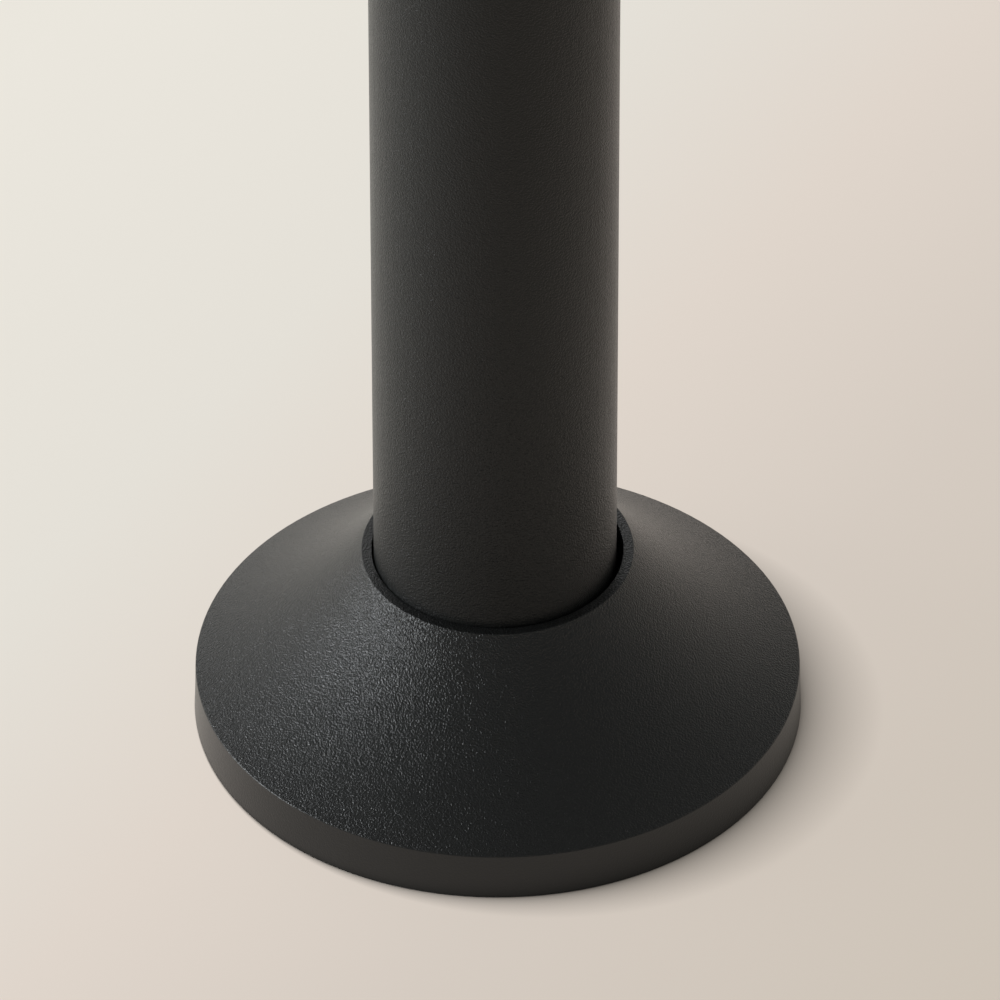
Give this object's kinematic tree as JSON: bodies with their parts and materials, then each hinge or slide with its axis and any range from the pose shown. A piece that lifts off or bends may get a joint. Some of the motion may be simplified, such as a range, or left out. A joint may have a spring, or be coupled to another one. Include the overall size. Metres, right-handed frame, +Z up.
{
  "type": "solar bollard light",
  "caption": "Round black post through a loose conical base cover over a cast anchor base, with a clear light window and a flat solar cap on top.",
  "frame": {"origin": "middle of the anchor bolt circle at ground level, on the post's axis", "axes": "+Z up along the post, -Y towards the picture's viewer, +X to the viewer's right"},
  "size_m": [0.2882, 0.2883, 1.067],
  "materials": {
    "powder_black": "matte",
    "cast_aluminium": "matte",
    "stainless": "satin",
    "seal_black": "matte",
    "clear_plastic": "gloss",
    "reflector_white": "satin",
    "pad_grey": "matte",
    "board_white": "satin",
    "led_yellow": "gloss",
    "board_green": "satin",
    "component_dark": "matte",
    "panel_glass": "gloss",
    "cell_blue": "gloss",
    "battery_wrap": "satin",
    "folded_sheet": "satin",
    "lead_red": "satin",
    "lead_blue": "satin",
    "lead_yellow": "satin"
  },
  "bodies": {
    "root": {"post_tube": "powder_black", "base_cover": "powder_black", "anchor_base": "cast_aluminium", "base_screws": "stainless", "head_base": "powder_black", "head_screws": "stainless", "lower_lens_gasket": "seal_black", "lens": "clear_plastic", "upper_lens_gasket": "seal_black", "reflector": "reflector_white", "reflector_screws": "stainless", "tie_rods": "stainless", "tie_nuts": "stainless", "tie_washers": "stainless", "wire_conduit": "stainless", "vent_plug": "seal_black", "lamp_housing": "powder_black", "thermal_pad": "pad_grey", "led_board": "board_white", "leds": "led_yellow", "led_board_screws": "stainless", "controller_board": "board_green", "controller_parts": "component_dark", "board_sockets": "board_white", "board_spacers": "stainless", "board_screws": "stainless", "cover_glass": "panel_glass", "pv_laminate": "board_white", "pv_cells": "cell_blue", "junction_box": "component_dark", "panel_gasket": "seal_black", "bezel_ring": "powder_black", "bezel_screws": "stainless", "battery_pack": "battery_wrap", "pack_cushion": "seal_black", "battery_tray": "folded_sheet", "battery_straps": "seal_black", "tray_screws": "stainless", "tray_grommet": "seal_black", "battery_lead": "lead_red", "panel_lead": "lead_blue", "led_lead": "lead_yellow"}
  },
  "joints": []
}
